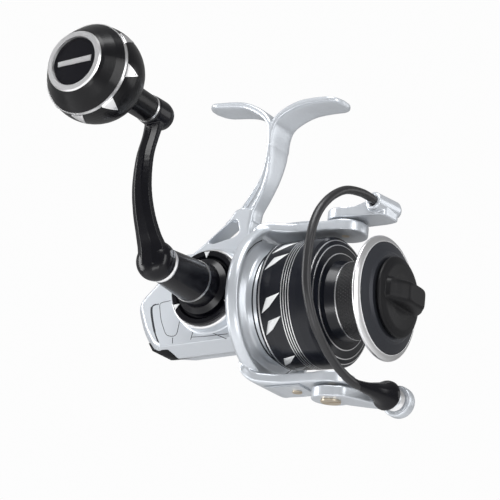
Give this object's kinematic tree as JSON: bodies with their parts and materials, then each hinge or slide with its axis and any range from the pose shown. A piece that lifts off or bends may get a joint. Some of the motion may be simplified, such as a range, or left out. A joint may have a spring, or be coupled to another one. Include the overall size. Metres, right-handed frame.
{
  "type": "spinning reel",
  "caption": "Silver and black spinning reel with a rod foot, a crank with a ball knob, a rotor with a wire bail and line roller, and a sliding spool with a front drag knob.",
  "frame": {"origin": "on the plane of the rod seat at mid foot, on the reel's centre plane", "axes": "+X along the main shaft towards the front of the spool, +Z from the spool up to the rod foot, the crank handle on the -Y side"},
  "size_m": [0.1216, 0.1424, 0.1304],
  "materials": {
    "silver_paint": "satin silver paint",
    "bright_metal": "bright machined",
    "black_gloss": "gloss black anodised",
    "black_skirt": "semi gloss black",
    "grey_face": "dark grey anodised",
    "black_plastic": "moulded",
    "knob_shell": "moulded EVA look shell",
    "wire_metal": "dark grey plated",
    "champagne": "champagne plated",
    "gear_brass": "machined",
    "gear_alloy": "machined",
    "steel": "ground",
    "rubber_band": "knurled",
    "drag_carbon": "carbon fibre"
  },
  "bodies": {
    "body": {"housing": "silver_paint", "side_cover": "silver_paint", "side_cover_screws": "champagne", "rear_bumper": "black_plastic", "crank_bearings": "steel", "bearing_cap": "black_gloss", "shaft_cap": "black_gloss", "pinion_rear_bearing": "steel", "pinion_front_bearing": "steel", "clutch_housing": "steel", "clutch_rollers": "steel", "clutch_cover": "steel", "clutch_cover_screws": "steel", "guide_rod": "steel"},
    "crank": {"drive_gear": "gear_alloy", "drive_shaft": "steel", "hub": "black_gloss", "hub_ring_inner": "bright_metal", "hub_ring_outer": "bright_metal", "crank_arm": "black_gloss", "arm_screw": "steel", "knob_post": "steel", "post_ring": "bright_metal", "cam_drive_gear": "gear_brass"},
    "handle_knob": {"knob_rear_shell": "knob_shell", "knob_front_shell": "knob_shell", "knob_band": "bright_metal", "knob_end_ring": "bright_metal", "knob_cap": "black_gloss", "knob_bearings": "steel"},
    "cam": {"oscillation_gear": "gear_brass"},
    "rotor": {"rotor": "silver_paint", "pinion_gear": "gear_brass", "clutch_sleeve": "steel", "rotor_nut": "steel", "wire_arm_cover": "silver_paint", "roller_arm_cover": "silver_paint", "arm_cover_screws": "champagne", "bail_spring": "steel"},
    "bail": {"wire_arm": "silver_paint", "roller_arm": "silver_paint", "bail_wire": "wire_metal", "line_guide_cone": "black_gloss", "pivot_screws": "champagne", "roller_screw": "champagne"},
    "line_roller": {"line_roller": "bright_metal", "roller_bearing": "steel"},
    "main_shaft": {"main_shaft": "steel", "oscillation_slider": "gear_alloy"},
    "spool": {"spool": "black_skirt", "spool_lip": "bright_metal", "spool_face": "grey_face", "arbor_band": "rubber_band", "spool_bearing": "steel", "drag_washers": "drag_carbon", "drag_plates": "steel", "drag_retainer": "steel"},
    "drag_knob": {"drag_knob": "black_plastic", "drag_nut": "gear_alloy", "drag_spring": "steel"}
  },
  "joints": [
    {"name": "crank_turn", "type": "hinge", "parent": "body", "child": "crank", "pos_m": [-0.014, 0, -0.0813], "axis": [0, 1, 0], "continuous": true},
    {"name": "handle_knob_spin", "type": "hinge", "parent": "crank", "child": "handle_knob", "pos_m": [-0.01816, -0.085, -0.02325], "axis": [0, 1, 0], "continuous": true},
    {"name": "oscillation_gear_turn", "type": "hinge", "parent": "body", "child": "cam", "pos_m": [-0.0271, -0.007, -0.0845], "axis": [0, 1, 0], "continuous": true},
    {"name": "rotor_turn", "type": "hinge", "parent": "body", "child": "rotor", "pos_m": [0.006, 0, -0.0855], "axis": [1, 0, 0], "continuous": true},
    {"name": "bail_flip", "type": "hinge", "parent": "rotor", "child": "bail", "pos_m": [0.0366, 0, -0.0855], "axis": [0, 0, 1], "range_deg": [0, 100]},
    {"name": "line_roller_spin", "type": "hinge", "parent": "bail", "child": "line_roller", "pos_m": [0.0576, 0.0088, -0.1221], "axis": [0, 1, 0], "continuous": true},
    {"name": "spool_oscillation", "type": "slide", "parent": "body", "child": "main_shaft", "axis": [1, 0, 0], "range_m": [-0.006, 0.0055]},
    {"name": "spool_drag_turn", "type": "hinge", "parent": "main_shaft", "child": "spool", "pos_m": [0.046, 0, -0.0855], "axis": [1, 0, 0], "continuous": true},
    {"name": "drag_knob_turn", "type": "hinge", "parent": "main_shaft", "child": "drag_knob", "pos_m": [0.064, 0, -0.0855], "axis": [1, 0, 0], "range_deg": [-360, 360]}
  ],
  "couplings": [
    {"joint": "rotor_turn", "follows": "crank_turn", "ratio": -5.2857},
    {"joint": "oscillation_gear_turn", "follows": "crank_turn", "ratio": -0.5}
  ]
}
